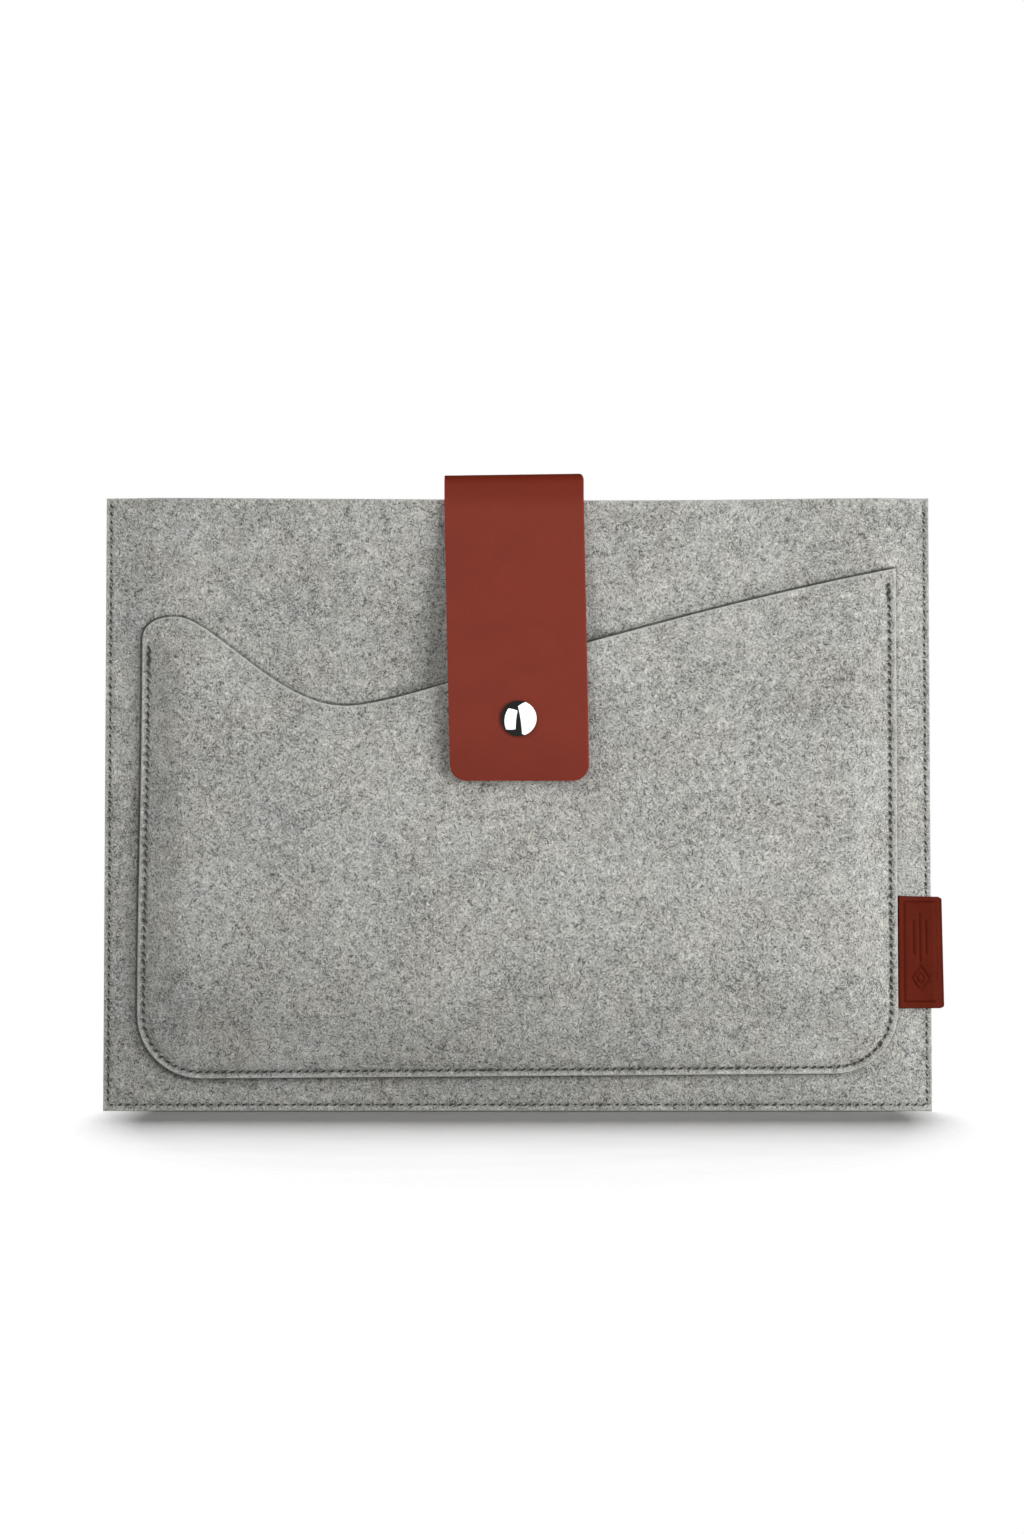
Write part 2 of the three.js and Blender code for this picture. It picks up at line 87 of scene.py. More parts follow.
LEATHER = 2 * MM
CROWN_RISE = 9 * MM  # from the mouth up to the middle of the crown's leather
FOLD_TURN = 6 * MM  # radius of each of the crown's two bends: a tight one unfolds flatter
STRAP_CLEARANCE = 0.3 * MM
STRAP_LEAN = 2.4 * MM  # how far the strap's middle moves to the right on its way to the tip
STRAP_TIP_CORNER = 7 * MM
STRAP_SHIFT = 0.5 * MM  # to the right of the CAD strap
STRAP_SPREAD = 0.4 * MM  # wider than the CAD strap on each side, except at the tip
STRAP_BOX_INSET = 4 * MM
STRAP_BOX_HEIGHT = 42 * MM
CROWN_NOTCH = 4.6 * MM  # how much narrower the crown is at its right edge
NOTCH_REACH = 10 * MM  # along the strap, each way from the middle of the crown
CROWN_TILT = 0.014  # the crown rises a little to the right
CROWN_LIFT = 0.5 * MM  # and stands this much above the CAD crown
TIP_DROP = 0.8 * MM  # how much further down the flap reaches than the CAD flap
TIP_BEND = 2.5 * MM  # how far its tip bends in towards the pocket

SNAP_SEAT = 0.9 * MM  # how deep the stud's flange pinches into the felt

LABEL_THICKNESS = 1.4 * MM
LABEL_CLEARANCE = 0.3 * MM
LABEL_REACH = 1.2 * MM  # how much further the leaves reach over the felt than the CAD label
LABEL_FLARE = 0.9 * MM  # how much further the fold stands out at the bottom
LABEL_DROP = 0.7 * MM  # how far the top edge falls towards the fold

STITCH_PITCH = 3.5 * MM
STITCH_SHARES = (0.6, 0.76)  # of the pitch that a stitch covers, least and most
STITCH_SWING = 13  # degrees that its slant varies by
STITCH_BURIED = 0.4 * MM  # the felt swallows a stitch by up to this much
STITCH_SUNK = 0.33 * MM  # how deep a seam lies below the felt's surface
BACK_TACK = 10 * MM  # sewn twice at each end of the pocket seam
BACK_TACK_ASIDE = 0.5 * MM  # from the seam to its second pass
THREAD_RADIUS = 0.41 * MM

# ---- places, from the frame ----

front_low, front_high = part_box("front_panel")
back_low, back_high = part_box("back_panel")
pocket_low, pocket_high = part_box("pocket_panel")
leg_low, leg_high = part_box("strap_back_leg")
flap_low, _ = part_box("strap_flap")
cap_low, cap_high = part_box("snap_cap_shell")
label_low, label_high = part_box("side_label")

MIDDLE_X = (front_low.x + front_high.x) / 2
HALF_WIDTH = (front_high.x - front_low.x) / 2
MOUTH_Z = front_high.z
FRONT_BOW = front_high.y - front_low.y - FELT
BACK_BOW = back_high.y - back_low.y - FELT
POCKET_HALF = (pocket_high.x - pocket_low.x) / 2
STRAP_X = (leg_low.x + leg_high.x) / 2 + STRAP_SHIFT
SNAP = Vector(((cap_low.x + cap_high.x) / 2, 0, (cap_low.z + cap_high.z) / 2))


# ---- flat paths ----

def smooth(t):
    t = np.clip(t, 0, 1)
    return t * t * (3 - 2 * t)


def arc(center, radius, start, end, steps):
    """Points on an arc, from one angle to another in degrees."""
    angles = np.radians(np.linspace(start, end, steps + 1))
    return np.column_stack([center[0] + radius * np.cos(angles), center[1] + radius * np.sin(angles)])


def bezier(controls, steps):
    t = np.linspace(0, 1, steps + 1)[:, None]
    points = [np.array(c, float) for c in controls]
    while len(points) > 1:
        points = [a * (1 - t) + b * t for a, b in zip(points, points[1:])]
    return points[0]


def subdivided(path, step):
    """The same path with every long stretch divided into equal steps. Its last point is left out."""
    parts = []
    for a, b in zip(path, path[1:]):
        count = max(1, round(float(np.linalg.norm(b - a)) / step))
        parts.append(a + (b - a) * (np.arange(count) / count)[:, None])
    return np.vstack(parts)


def closed_path(path):
    return np.vstack([path, path[:1]])


def run_lengths(path):
    return np.concatenate([[0], np.cumsum(np.linalg.norm(np.diff(path, axis=0), axis=1))])


def values_at(along, lengths, columns):
    """Each column of a path's values, at given lengths along the path."""
    return [np.interp(along, lengths, column) for column in columns.T]


def followed(path, step, blur):
    """A path in short steps: its points, their lengths along it, and its blurred directions."""
    points = np.vstack([subdivided(path, step), path[-1:]])
    lengths = run_lengths(points)
    kernel = np.ones(blur) / blur
    steps = np.pad(np.gradient(points, lengths, axis=0), ((blur // 2,), (0,)), mode="edge")
    heading = np.column_stack([np.convolve(column, kernel, "valid") for column in steps.T])
    return points, lengths, heading / np.linalg.norm(heading, axis=1)[:, None]


def closest(points, path):
    """Each point's distance to a path, and how far along the path the nearest place is."""
    best = np.full(len(points), np.inf)
    along = np.zeros(len(points))
    for start, end, before in zip(path, path[1:], run_lengths(path)):
        step = end - start
        length = float(np.linalg.norm(step))
        if length == 0:
            continue
        t = np.clip((points - start) @ step / length ** 2, 0, 1)
        distance = np.linalg.norm(points - start - t[:, None] * step, axis=1)
        nearer = distance < best
        best[nearer] = distance[nearer]
        along[nearer] = before + t[nearer] * length
    return best, along


def inside(points, outline):
    """Which points lie inside a closed outline."""
    odd = np.zeros(len(points), bool)
    x, z = points.T
    for (ax, az), (bx, bz) in zip(outline, np.roll(outline, -1, axis=0)):
        if az == bz:
            continue
        crosses = (az > z) != (bz > z)
        odd ^= crosses & (x < (bx - ax) * (z - az) / (bz - az) + ax)
    return odd


def inward_normals(loop):
    """The direction into a loop that runs counterclockwise, longer at a sharp corner."""
    before = loop - np.roll(loop, 1, axis=0)
    after = np.roll(loop, -1, axis=0) - loop
    before /= np.linalg.norm(before, axis=1)[:, None]
    after /= np.linalg.norm(after, axis=1)[:, None]
    along = before + after
    along /= np.linalg.norm(along, axis=1)[:, None]
    widening = np.maximum((along * after).sum(axis=1), 0.6)[:, None]
    return np.column_stack([-along[:, 1], along[:, 0]]) / widening


# ---- meshes ----

def add_object(name, vertices, faces, material, sharp=50):
    """A smooth-shaded mesh, with its normals out and sharp edges above an angle in degrees."""
    mesh = bpy.data.meshes.new(name)
    mesh.from_pydata(np.asarray(vertices).tolist(), [], faces)
    shape = bmesh.new()
    shape.from_mesh(mesh)
    bmesh.ops.recalc_face_normals(shape, faces=shape.faces)
    shape.to_mesh(mesh)
    shape.free()
    mesh.shade_smooth()
    mesh.set_sharp_from_angle(angle=math.radians(sharp))
    mesh.materials.append(material)
    made = bpy.data.objects.new(name, mesh)
    bpy.context.scene.collection.objects.link(made)
    return made


def paint(piece, attribute, values):
    """A number for each vertex, which the material reads."""
    layer = piece.data.attributes.new(attribute, "FLOAT", "POINT")
    layer.data.foreach_set("value", np.asarray(values, np.float32))


def declare(piece, body, node):
    """The body that a piece rides on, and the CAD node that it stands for."""
    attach(piece, body)
    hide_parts(node)


def bands(rows):
    """The faces between closed rows of vertices, from each row to the next."""
    faces = []
    for upper, lower in zip(rows, rows[1:]):
        beside = zip(upper, lower, lower[1:] + lower[:1], upper[1:] + upper[:1])
        faces += [list(corners) for corners in beside]
    return faces


def edge_rows(bevel, thickness):
    """The rows of a rounded cut edge: how far each one is set in, and how deep it lies."""
    angles = np.radians([0, 30, 60, 90])
    outer = [(bevel * (1 - math.sin(a)), bevel * (1 - math.cos(a)) / thickness) for a in angles]
    return outer + [(0, 0.5)] + [(inset, 1 - depth) for inset, depth in reversed(outer)]


def fill(outline, loop, inward, rings, spacing, rng):
    """Points inside an outline: rings along its edge, then an even, slightly irregular field."""
    edge = closed_path(outline)
    fields = []
    for inset in rings:
        ring = loop + inward * inset
        fields.append(ring[closest(ring, edge)[0] > 0.95 * inset])
    low, high = outline.min(axis=0), outline.max(axis=0)
    rows = np.arange(low[1], high[1], spacing * 0.866)
    columns = np.arange(low[0], high[0], spacing)
    x, z = np.meshgrid(columns, rows)
    x[1::2] += spacing / 2
    field = np.column_stack([x.ravel(), z.ravel()])
    field += rng.uniform(-0.18, 0.18, field.shape) * spacing
    field = field[inside(field, outline)]
    clear = (rings[-1] if rings else 0) + 0.7 * spacing
    fields.append(field[closest(field, edge)[0] > clear])
    return np.vstack(fields)


RIM_EDGE_AND_HIGHLIGHT = 0.35  # how much of the cut edge's colour the outer face has at its rim, a painted highlight along the bevel of the felt and the strap
TRACK_ROWS = [r * MM for r in (0, 0.5, 1.0, 1.5, 2.2)]


def slab(name, outline, place, thickness, material, step, spacing,
         rings=(), bevel=0.4 * MM, holes=(), seed=1, marks=None, track=None):
    """A closed body over a flat outline that runs counterclockwise.

    place(points, depth) puts flat points in space: depth is 0 on the outer face and 1 on the inner.
    holes are (center, radius) circles through the body. marks are the numbers painted on it, each
    a function of the flat points and the depth. track is another outline on the body, which gets
    rows of points of its own.
    """
    rng = np.random.default_rng(seed)
    loop = subdivided(closed_path(outline), step)
    inward = inward_normals(loop)
    rim = loop + inward * bevel
    field = fill(outline, loop, inward, [bevel + r for r in rings], spacing, rng)
    circles = [arc(center, radius, 0, 360, 24)[:-1] for center, radius in holes]
    for center, radius in holes:
        field = field[np.linalg.norm(field - center, axis=1) > radius + 0.4 * spacing]
    if track is not None:
        line = subdivided(closed_path(track), step)
        outward = -inward_normals(line)
        field = field[closest(field, closed_path(line))[0] > TRACK_ROWS[-1] + 0.5 * spacing]
        field = np.vstack([field] + [line + outward * offset for offset in TRACK_ROWS])
    flat = np.vstack([rim, *circles, field])
    ends = np.cumsum([len(rim)] + [len(c) for c in circles])
    borders = [list(range(a, b)) for a, b in zip([0, *ends[:-1]], ends)]
    points = [Vector(p) for p in flat]
    found, _, triangles, origins, _, _ = delaunay_2d_cdt(points, [], borders, 1, 1e-9)
    flat = np.array([tuple(p) for p in found])
    renamed = {old: new for new, olds in enumerate(origins) for old in olds}
    borders = [[renamed[i] for i in border] for border in borders]
    triangles = np.array(triangles)
    middles = flat[triangles].mean(axis=1)
    for center, radius in holes:
        kept = np.linalg.norm(middles - center, axis=1) > radius * 0.98
        triangles, middles = triangles[kept], middles[kept]

    count = len(flat)
    faces = triangles.tolist() + (triangles[:, ::-1] + count).tolist()
    rows = edge_rows(bevel, thickness)
    points = [flat, flat]
    depths = [np.zeros(count), np.ones(count)]
    edges = [np.zeros(count), np.zeros(count)]
    edges[0][borders[0]] = RIM_EDGE_AND_HIGHLIGHT
    ladder = [borders[0]]
    total = 2 * count
    for inset, depth in rows[1:-1]:
        points.append(loop + inward * inset)
        depths.append(np.full(len(loop), depth))
        edges.append(np.ones(len(loop)))
        ladder.append(list(range(total, total + len(loop))))
        total += len(loop)
    ladder.append([i + count for i in borders[0]])
    faces += bands(ladder)
    for border in borders[1:]:
        faces += bands([border, [i + count for i in border]])

    points, depths = np.vstack(points), np.concatenate(depths)
    piece = add_object(name, place(points, depths), faces, material)
    paint(piece, "cut_edge", np.concatenate(edges))
    for attribute, mark in (marks or {}).items():
        paint(piece, attribute, mark(points, depths))
    return piece


def tube_faces(first, rings, sides):
    """The faces of a tube with flat ends, whose rings of vertices start at number first."""
    rows = np.arange(first, first + rings * sides).reshape(rings, sides).tolist()
    return bands(rows) + [rows[0], rows[-1]]


def turned(name, profile, material):
    """A body turned round the press stud's axis. Its profile holds (radius, y) pairs."""
    segments = 96
    vertices, rows = [], []
    for radius, y in profile:
        count = segments if radius > 1e-7 else 1
        rows.append([len(vertices) + k % count for k in range(segments)])
        vertices += [(x, y, z) for x, z in arc((SNAP.x, SNAP.z), radius, 0, 360, segments)[:count]]
    faces = [list(dict.fromkeys(corners)) for corners in bands(rows)]
    return add_object(name, vertices, [face for face in faces if len(face) > 2], material, sharp=35)


def rounded(profile, radius, closed=False):
    """A profile whose inner corners are replaced by small curves."""
    points = [np.array(p, float) for p in profile]
    if closed:
        points = [points[-1], *points, points[0]]
    out = [] if closed else [points[0]]
    for before, corner, after in zip(points, points[1:], points[2:]):
        reach = min(radius, *(0.45 * np.linalg.norm(p - corner) for p in (before, after)))
        a = corner + (before - corner) / np.linalg.norm(before - corner) * reach
        b = corner + (after - corner) / np.linalg.norm(after - corner) * reach
        out += list(bezier([a, corner, b], 4))
    return out + ([out[0]] if closed else [points[-1]])


# ---- felt surfaces: the y of each face over the x, z plane ----

def body_bow(x, z, rise):
    side = HALF_WIDTH - np.abs(x - MIDDLE_X)
    return smooth((side - SEAM_MARGIN) / BODY_SLOPE) * smooth((z - SEAM_MARGIN) / rise)


SWAY = 0.16 * MM  # the height of each wave


def sway(x, z, seed):
    """Slow, shallow waves of a felt panel, which run in seven directions."""
    rng = np.random.default_rng(seed)
    waves = np.zeros_like(x)
    for _ in range(7):
        length = rng.uniform(60, 190) * MM
        turn = rng.uniform(0, math.pi)
        phase = rng.uniform(0, 2 * math.pi)
        waves += np.sin(2 * math.pi * (x * math.cos(turn) + z * math.sin(turn)) / length + phase)
    return SWAY * waves


def front_inner(x, z):
    bow = body_bow(x, z, FRONT_RISE)
    return front_high.y - FRONT_BOW * bow + bow * sway(x, z, 3)


def front_outer(x, z):
    return front_inner(x, z) - FELT


def back_inner(x, z):
    bow = body_bow(x, z, BODY_SLOPE)
    return back_low.y + BACK_BOW * bow + bow * sway(x, z, 4)


def back_outer(x, z):
    return back_inner(x, z) + FELT


def pocket_base(x):
    share = (x - MIDDLE_X + POCKET_HALF) / (2 * POCKET_HALF)
    return POCKET_BASE[0] + (POCKET_BASE[1] - POCKET_BASE[0]) * share


def leaned(path):
    """The pocket's upper left leans in and hangs down a little."""
    x, z = path.T
    share = smooth((MIDDLE_X - x) / POCKET_HALF) * smooth((z - 40 * MM) / (150 * MM))
    return np.column_stack([x + POCKET_LEAN * share, z - POCKET_HANG * share])


def mouth_points(steps):
    """The pocket's mouth before it leans, from left to right, with the given steps in each curve."""
    curves = [bezier(controls, steps)[min(i, 1):] for i, controls in enumerate(POCKET_MOUTH)]
    return np.vstack(curves) * MM + (MIDDLE_X, 0)


def pocket_bow(x, z):
    side, above = POCKET_HALF - np.abs(x - MIDDLE_X), z - pocket_base(x)
    return smooth((side - SEAM_MARGIN) / POCKET_SLOPE) * smooth((above - SEAM_MARGIN) / POCKET_RISE)


def mouth_lie(x, z):
    """The mouth leans back against the front panel, except where the strap's press stud holds it."""
    mouth = leaned(mouth_points(12))
    below = np.interp(x, mouth[:, 0], mouth[:, 1]) - z
    near_mouth = 1 - smooth(below / (30 * MM))
    from_snap = np.hypot(x - SNAP.x, z - SNAP.z)
    return near_mouth * smooth((from_snap - 25 * MM) / (45 * MM))


def pocket_inner(x, z):
    stands_off = POCKET_BOW * pocket_bow(x, z) * (1 - 0.8 * mouth_lie(x, z))
    return front_outer(x, z) - POCKET_GAP - stands_off


def pocket_outer(x, z):
    return pocket_inner(x, z) - FELT


# ---- seams ----

def body_seam():
    side, top = HALF_WIDTH - BODY_SEAM_SIDE, MOUTH_Z - SEAM_END
    corners = [(-side, top), (-side, BODY_SEAM_BASE), (side, BODY_SEAM_BASE), (side, top)]
    return np.array(corners) + (MIDDLE_X, 0)


def pocket_corner(sign, inset, start, end):
    x = MIDDLE_X + sign * (POCKET_HALF - POCKET_CORNER)
    return arc((x, pocket_base(x) + POCKET_CORNER), POCKET_CORNER - inset, start, end, 12)


def pocket_seam():
    side = POCKET_HALF - POCKET_SEAM_INSET
    mouth = mouth_points(2)
    left, right = mouth[0, 1] - SEAM_END, mouth[-1, 1] - SEAM_END - POCKET_SEAM_INSET
    return leaned(np.vstack([
        [(MIDDLE_X - side, z) for z in np.linspace(left, POCKET_BASE[0] + POCKET_CORNER, 12)[:-1]],
        pocket_corner(-1, POCKET_SEAM_INSET, 180, 270),
        pocket_corner(1, POCKET_SEAM_INSET, 270, 360),
        [(MIDDLE_X + side, right)],
    ]))


def strap_seam():
    """A box of stitches that stays open at its upper left corner."""
    half = (leg_high.x - leg_low.x) / 2 - STRAP_BOX_INSET
    low = leg_low.z + STRAP_BOX_INSET
    high = low + STRAP_BOX_HEIGHT
    gap = 2 * MM
    corners = [(-half, high - gap), (-half, low), (half, low), (half, high), (-half + gap, high)]
    return np.array(corners) + (STRAP_X, 0)


def seam_pull(flat, seam, depth=0.5 * MM, width=1.3 * MM):
    """How far a seam pulls the surface in: a narrow valley, deepest at the needle holes."""
    distance, along = closest(flat, seam)
    holes = 0.75 + 0.25 * np.cos(2 * math.pi * along / STITCH_PITCH)
    valley = np.exp(-(distance / width) ** 2) * holes
    ripple = np.sin(along / (2.1 * MM) + 3 * np.sin(along / (30 * MM)))
    return depth * valley + 0.1 * MM * np.exp(-(distance / (3 * MM)) ** 2) * ripple


def stitch(vertices, faces, middle, along, out, length):
    """One lockstitch: a short two-ply thread that dives into the material at both ends."""
    rings, sides = 9, 8
    across = out.cross(along)
    first = len(vertices)
    for i in range(rings):
        t = 2 * i / (rings - 1) - 1
        size = THREAD_RADIUS * math.sqrt(1 - 0.93 * t ** 4)
        rise = THREAD_RADIUS * (0.35 - 1.9 * t ** 4)
        center = middle + along * (t * length / 2) + out * rise
        for k in range(sides):
            turn = 2 * math.pi * k / sides
            ply = 1 + 0.16 * math.cos(2 * turn + 3.4 * t)
            vertices.append(center + (across * math.cos(turn) + out * math.sin(turn)) * size * ply)
    faces += tube_faces(first, rings, sides)


def sew(name, seam, surface, outwards, node, seed, slant=24, back_tack=0.0):
    """A line of stitches along a flat seam. outwards is the y direction that leads out of the face."""
    rng = np.random.default_rng(seed)
    lengths = run_lengths(seam)
    whole = lengths[-1]
    passes = [(0.0, whole, slant, 0.5, 0.0)]
    if back_tack:
        passes.append((0.0, back_tack, -slant, 1.0, BACK_TACK_ASIDE))
        passes.append((whole - back_tack, whole, -slant, 1.0, BACK_TACK_ASIDE))
    vertices, faces = [], []
    for start, end, lean, first, aside in passes:
        for k in range(int((end - start) / STITCH_PITCH)):
            at = start + (k + first) * STITCH_PITCH
            if at > end:
                break
            behind, here, ahead = (values_at(at + share * STITCH_PITCH, lengths, seam)
                                   for share in (-0.4, 0, 0.4))
            heading = math.atan2(ahead[1] - behind[1], ahead[0] - behind[0])
            x, z = here[0] - aside * math.sin(heading), here[1] + aside * math.cos(heading)
            heading += math.radians(lean + rng.uniform(-STITCH_SWING, STITCH_SWING))
            y = float(surface(x, z))
            middle = Vector((x, y - outwards * STITCH_BURIED * rng.beta(1.2, 3.5), z))
            direction = Vector((math.cos(heading), 0, math.sin(heading)))
            length = STITCH_PITCH * rng.uniform(*STITCH_SHARES)
            stitch(vertices, faces, middle, direction, Vector((0, outwards, 0)), length)
    made = add_object(name, [tuple(v) for v in vertices], faces, THREAD, sharp=80)
    declare(made, "sleeve", node)


# ---- materials ----

def srgb(red, green, blue):
    """A linear colour from the usual 0 to 255 numbers."""
    def linear(value):
        value /= 255
        return value / 12.92 if value <= 0.04045 else ((value + 0.055) / 1.055) ** 2.4
    return (linear(red), linear(green), linear(blue), 1)


class Nodes:
    """The node tree of a material or of the world."""

    def __init__(self, owner):
        owner.use_nodes = True
        self.tree = owner.node_tree
        self.tree.nodes.clear()

    def add(self, kind, inputs=None, **settings):
        node = self.tree.nodes.new("ShaderNode" + kind)
        for key, value in settings.items():
            setattr(node, key, value)
        for key, value in (inputs or {}).items():
            if isinstance(value, bpy.types.NodeSocket):
                self.tree.links.new(value, node.inputs[key])
            else:
                node.inputs[key].default_value = value
        return node


class Shader(Nodes):
    """A material's node tree, with short ways to add what it needs."""

    def __init__(self, name):
        self.material = bpy.data.materials.new(name)
        super().__init__(self.material)
        self.where = self.add("TexCoord").outputs["Object"]

    def math(self, operation, a, b=0.5):
        return self.add("Math", {0: a, 1: b}, operation=operation).outputs[0]

    def span(self, value, low, high, to_low=0.0, to_high=1.0):
        """The value moved from one range to another, and kept inside it."""
        return self.add("MapRange", {0: value, 1: low, 2: high, 3: to_low, 4: to_high}).outputs[0]

    def noise(self, size, detail, rough=0.5, distortion=0.0):
        """Soft noise whose features are about size metres across."""
        inputs = {"Vector": self.where, "Scale": 1 / size, "Detail": detail,
                  "Roughness": rough, "Distortion": distortion}
        return self.add("TexNoise", inputs).outputs[0]

    def mix(self, share, a, b, blend="MIX"):
        inputs = {0: share, 6: a, 7: b}
        return self.add("Mix", inputs, data_type="RGBA", blend_type=blend).outputs[2]

    def mark(self, attribute):
        return self.add("Attribute", attribute_name=attribute).outputs["Fac"]

    def bump(self, height, distance, strength=1.0):
        inputs = {"Height": height, "Distance": distance, "Strength": strength}
        return self.add("Bump", inputs).outputs[0]

    def finish(self, **inputs):
        """The finished material, with underscores for the spaces in the inputs' names."""
        inputs = {key.replace("_", " "): value for key, value in inputs.items()}
        self.add("OutputMaterial", {"Surface": self.add("BsdfPrincipled", inputs).outputs[0]})
        return self.material


FIBRE_CURL = 2.2 * MM  # how strongly the felt's fibres wind


def fibres(shader, turns, length, width, shift):
    """The brightest of several layers of long noise, each turned another way in the felt's plane."""
    curl = shader.add("TexNoise", {"Vector": shader.where, "Scale": 300.0, "Detail": 1.0}).outputs[1]
    curl = shader.add("VectorMath", {0: curl, 1: (0.5, 0.5, 0.5)}, operation="SUBTRACT").outputs[0]
    curl = shader.add("VectorMath", {0: curl, "Scale": FIBRE_CURL}, operation="SCALE").outputs[0]
    where = shader.add("VectorMath", {0: shader.where, 1: curl}, operation="ADD").outputs[0]
    most = None
    for turn in turns:
        inputs = {"Vector": where, "Location": (shift, shift * turn, 0),
                  "Rotation": (0, math.radians(turn), 0), "Scale": (length, width, width)}
        mapped = shader.add("Mapping", inputs, vector_type="TEXTURE").outputs[0]
        layer = shader.add("TexNoise", {"Vector": mapped, "Scale": 1.0, "Detail": 1.0}).outputs[0]
        most = layer if most is None else shader.math("MAXIMUM", most, layer)
    return most


def felt_material():
    """Grey wool felt: a melange of pale and dark fibres, with soft cloudy patches."""
    shader = Shader("grey_felt")
    pale = shader.span(fibres(shader, (8, 52, 97, 141), 2.6 * MM, 0.5 * MM, 0.3), 0.56, 0.80)
    dark = shader.span(fibres(shader, (30, 74, 118, 163), 2.0 * MM, 0.55 * MM, 1.7), 0.57, 0.80)
    grain = shader.noise(0.9 * MM, 2)
    blotch = shader.noise(4.5 * MM, 3, rough=0.6)
    cloud = shader.noise(38 * MM, 2)
    tone = shader.math("MULTIPLY", pale, 0.55)
    tone = shader.math("SUBTRACT", tone, shader.math("MULTIPLY", dark, 0.75))
    for layer, amount in ((grain, 0.55), (blotch, 0.75), (cloud, 0.4)):
        centred = shader.math("SUBTRACT", layer)
        tone = shader.math("ADD", tone, shader.math("MULTIPLY", centred, amount))
    tone = shader.span(tone, -0.5, 0.5)
    colour = shader.mix(tone, FELT_DARK, FELT_PALE)
    tint = shader.span(shader.noise(22 * MM, 2), 0.35, 0.65)
    colour = shader.mix(1.0, colour, shader.mix(tint, FELT_COOL, FELT_WARM), "MULTIPLY")
    # painted highlight along the felt's cut edges and the pocket's rim
    edge = shader.math("MAXIMUM", shader.mark("cut_edge"), shader.mark("rim"))
    colour = shader.mix(shader.math("MULTIPLY", edge, 0.6), colour, FELT_EDGE_HIGHLIGHT)
    # painted shade, in the seams' valleys and beside the pocket's edge
    colour = shader.mix(shader.mark("shade"), colour, FELT_SHADE)
    height = shader.math("ADD", tone, shader.math("MULTIPLY", blotch, 0.6))
    return shader.finish(
        Base_Color=colour, Roughness=0.95, Normal=shader.bump(height, 0.3 * MM, 0.8),
        Sheen_Weight=0.25, Sheen_Roughness=0.5, Specular_IOR_Level=0.15)


def leather_material(name, colour, dark, crown_shade_colour, edge_colour, roughness, specular):
    """Smooth, finely grained leather with a painted edge."""
    shader = Shader(name)
    mottle = shader.span(shader.noise(14 * MM, 3, rough=0.5), 0.3, 0.7)
    grain = shader.noise(0.8 * MM, 3, rough=0.7)
    grained = shader.math("MULTIPLY", grain, 0.8)
    shade = shader.math("ADD", shader.math("MULTIPLY", mottle, 0.2), grained)
    tone = shader.mix(shader.span(shade, 0.25, 0.75), dark, colour)
    # painted shade over the strap's crown, where the leather curves away from the light
    tone = shader.mix(shader.mark("crown_shade"), tone, crown_shade_colour)
    # the edge colour, which also reaches the face's rim; on the strap it is paler, a painted highlight
    # along the bevel
    tone = shader.mix(shader.math("MULTIPLY", shader.mark("cut_edge"), 0.8), tone, edge_colour)
    pores = shader.add("TexVoronoi", {"Vector": shader.where, "Scale": 1 / (0.6 * MM)}).outputs[0]
    height = shader.math("ADD", shader.math("MULTIPLY", pores, 0.5), grain)
    rough = shader.span(grain, 0.25, 0.75, roughness - 0.05, roughness + 0.06)
    return shader.finish(
        Base_Color=tone, Roughness=rough, Normal=shader.bump(height, 0.03 * MM, 0.6),
        Specular_IOR_Level=specular)


def metal_material(name, colour, low, high):
    """Plated metal with faint wear."""
    shader = Shader(name)
    wear = shader.noise(0.7 * MM, 4, rough=0.7)
    rough = shader.span(wear, 0.35, 0.7, low, high)
    worn = (*(0.9 * c for c in colour[:3]), 1)
    tone = shader.mix(shader.span(wear, 0.3, 0.8), colour, worn)
    return shader.finish(Base_Color=tone, Metallic=1.0, Roughness=rough,
                         Normal=shader.bump(wear, 0.004 * MM, 0.4))


def thread_material():
    shader = Shader("grey_thread")
    twist = shader.noise(0.22 * MM, 2, distortion=1.5)
    tone = shader.mix(shader.span(twist, 0.3, 0.7), srgb(28, 30, 27), srgb(72, 74, 70))
    return shader.finish(Base_Color=tone, Roughness=0.8, Normal=shader.bump(twist, 0.08 * MM),
                         Sheen_Weight=0.15)


FELT_DARK = srgb(98, 98, 96)
FELT_PALE = srgb(233, 232, 229)
FELT_WARM = (1.0, 0.992, 0.938, 1)
FELT_COOL = (0.978, 1.0, 0.982, 1)
# paler than the felt: the painted highlight of its cut edges
FELT_EDGE_HIGHLIGHT = srgb(214, 214, 208)
FELT_SHADE = srgb(62, 63, 60)

FELT_LOOK = felt_material()
# the strap's third colour is its painted shade over the crown
STRAP_LOOK = leather_material(
    "strap_leather", srgb(135, 51, 35), srgb(121, 46, 32), srgb(119, 39, 21), srgb(160, 52, 40),
    roughness=0.5, specular=0.15)
LABEL_LOOK = leather_material(
    "label_leather", srgb(102, 30, 12), srgb(80, 21, 7), srgb(80, 21, 7), srgb(77, 21, 9),
    roughness=0.55, specular=0.08)
CHROME = metal_material("polished_cap", (0.93, 0.93, 0.94, 1), 0.03, 0.07)
NICKEL = metal_material("brushed_nickel", (0.72, 0.71, 0.68, 1), 0.2, 0.34)
SPRING_WIRE = metal_material("spring_wire", (0.6, 0.6, 0.58, 1), 0.24, 0.4)
THREAD = thread_material()


# ---- felt panels ----

FELT_RINGS = [r * MM for r in (0.7, 1.4, 2.1, 2.8, 3.5, 4.2, 5.0, 6.0)]  # inside the rim
FELT_STEP = 0.85 * MM  # between points along those rings
FELT_SPACING = 2.4 * MM  # and further in
BODY_SHEET = (2 * HALF_WIDTH, MOUTH_Z)


